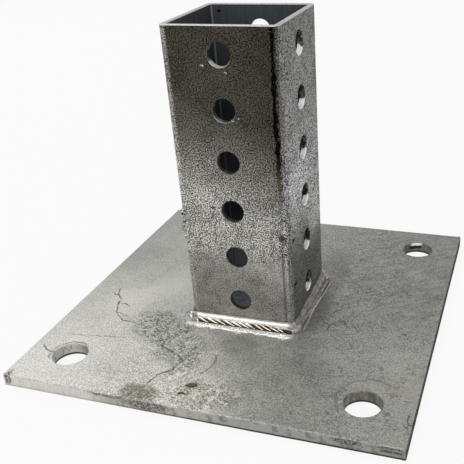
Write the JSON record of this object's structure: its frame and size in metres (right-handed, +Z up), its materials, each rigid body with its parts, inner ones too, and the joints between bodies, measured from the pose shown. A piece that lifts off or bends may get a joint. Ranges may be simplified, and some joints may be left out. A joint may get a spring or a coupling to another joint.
{
  "type": "sign post base",
  "caption": "Square steel base plate with an upright perforated square sleeve welded to its centre, which holds a sign post above a concrete or paved surface.",
  "frame": {"origin": "centre of the plate's underside", "axes": "+Z up along the sleeve, X and Y along the plate's sides"},
  "size_m": [0.2, 0.2, 0.1609],
  "materials": {
    "galvanised_plate": "weathered hot-dip zinc, satin",
    "galvanised_sleeve": "weathered hot-dip zinc, satin",
    "galvanised_weld": "bright zinc over weld ripples"
  },
  "bodies": {
    "root": {"base_plate": "galvanised_plate", "post_sleeve": "galvanised_sleeve", "weld_front": "galvanised_weld", "weld_right": "galvanised_weld", "weld_back": "galvanised_weld", "weld_left": "galvanised_weld"}
  },
  "joints": []
}
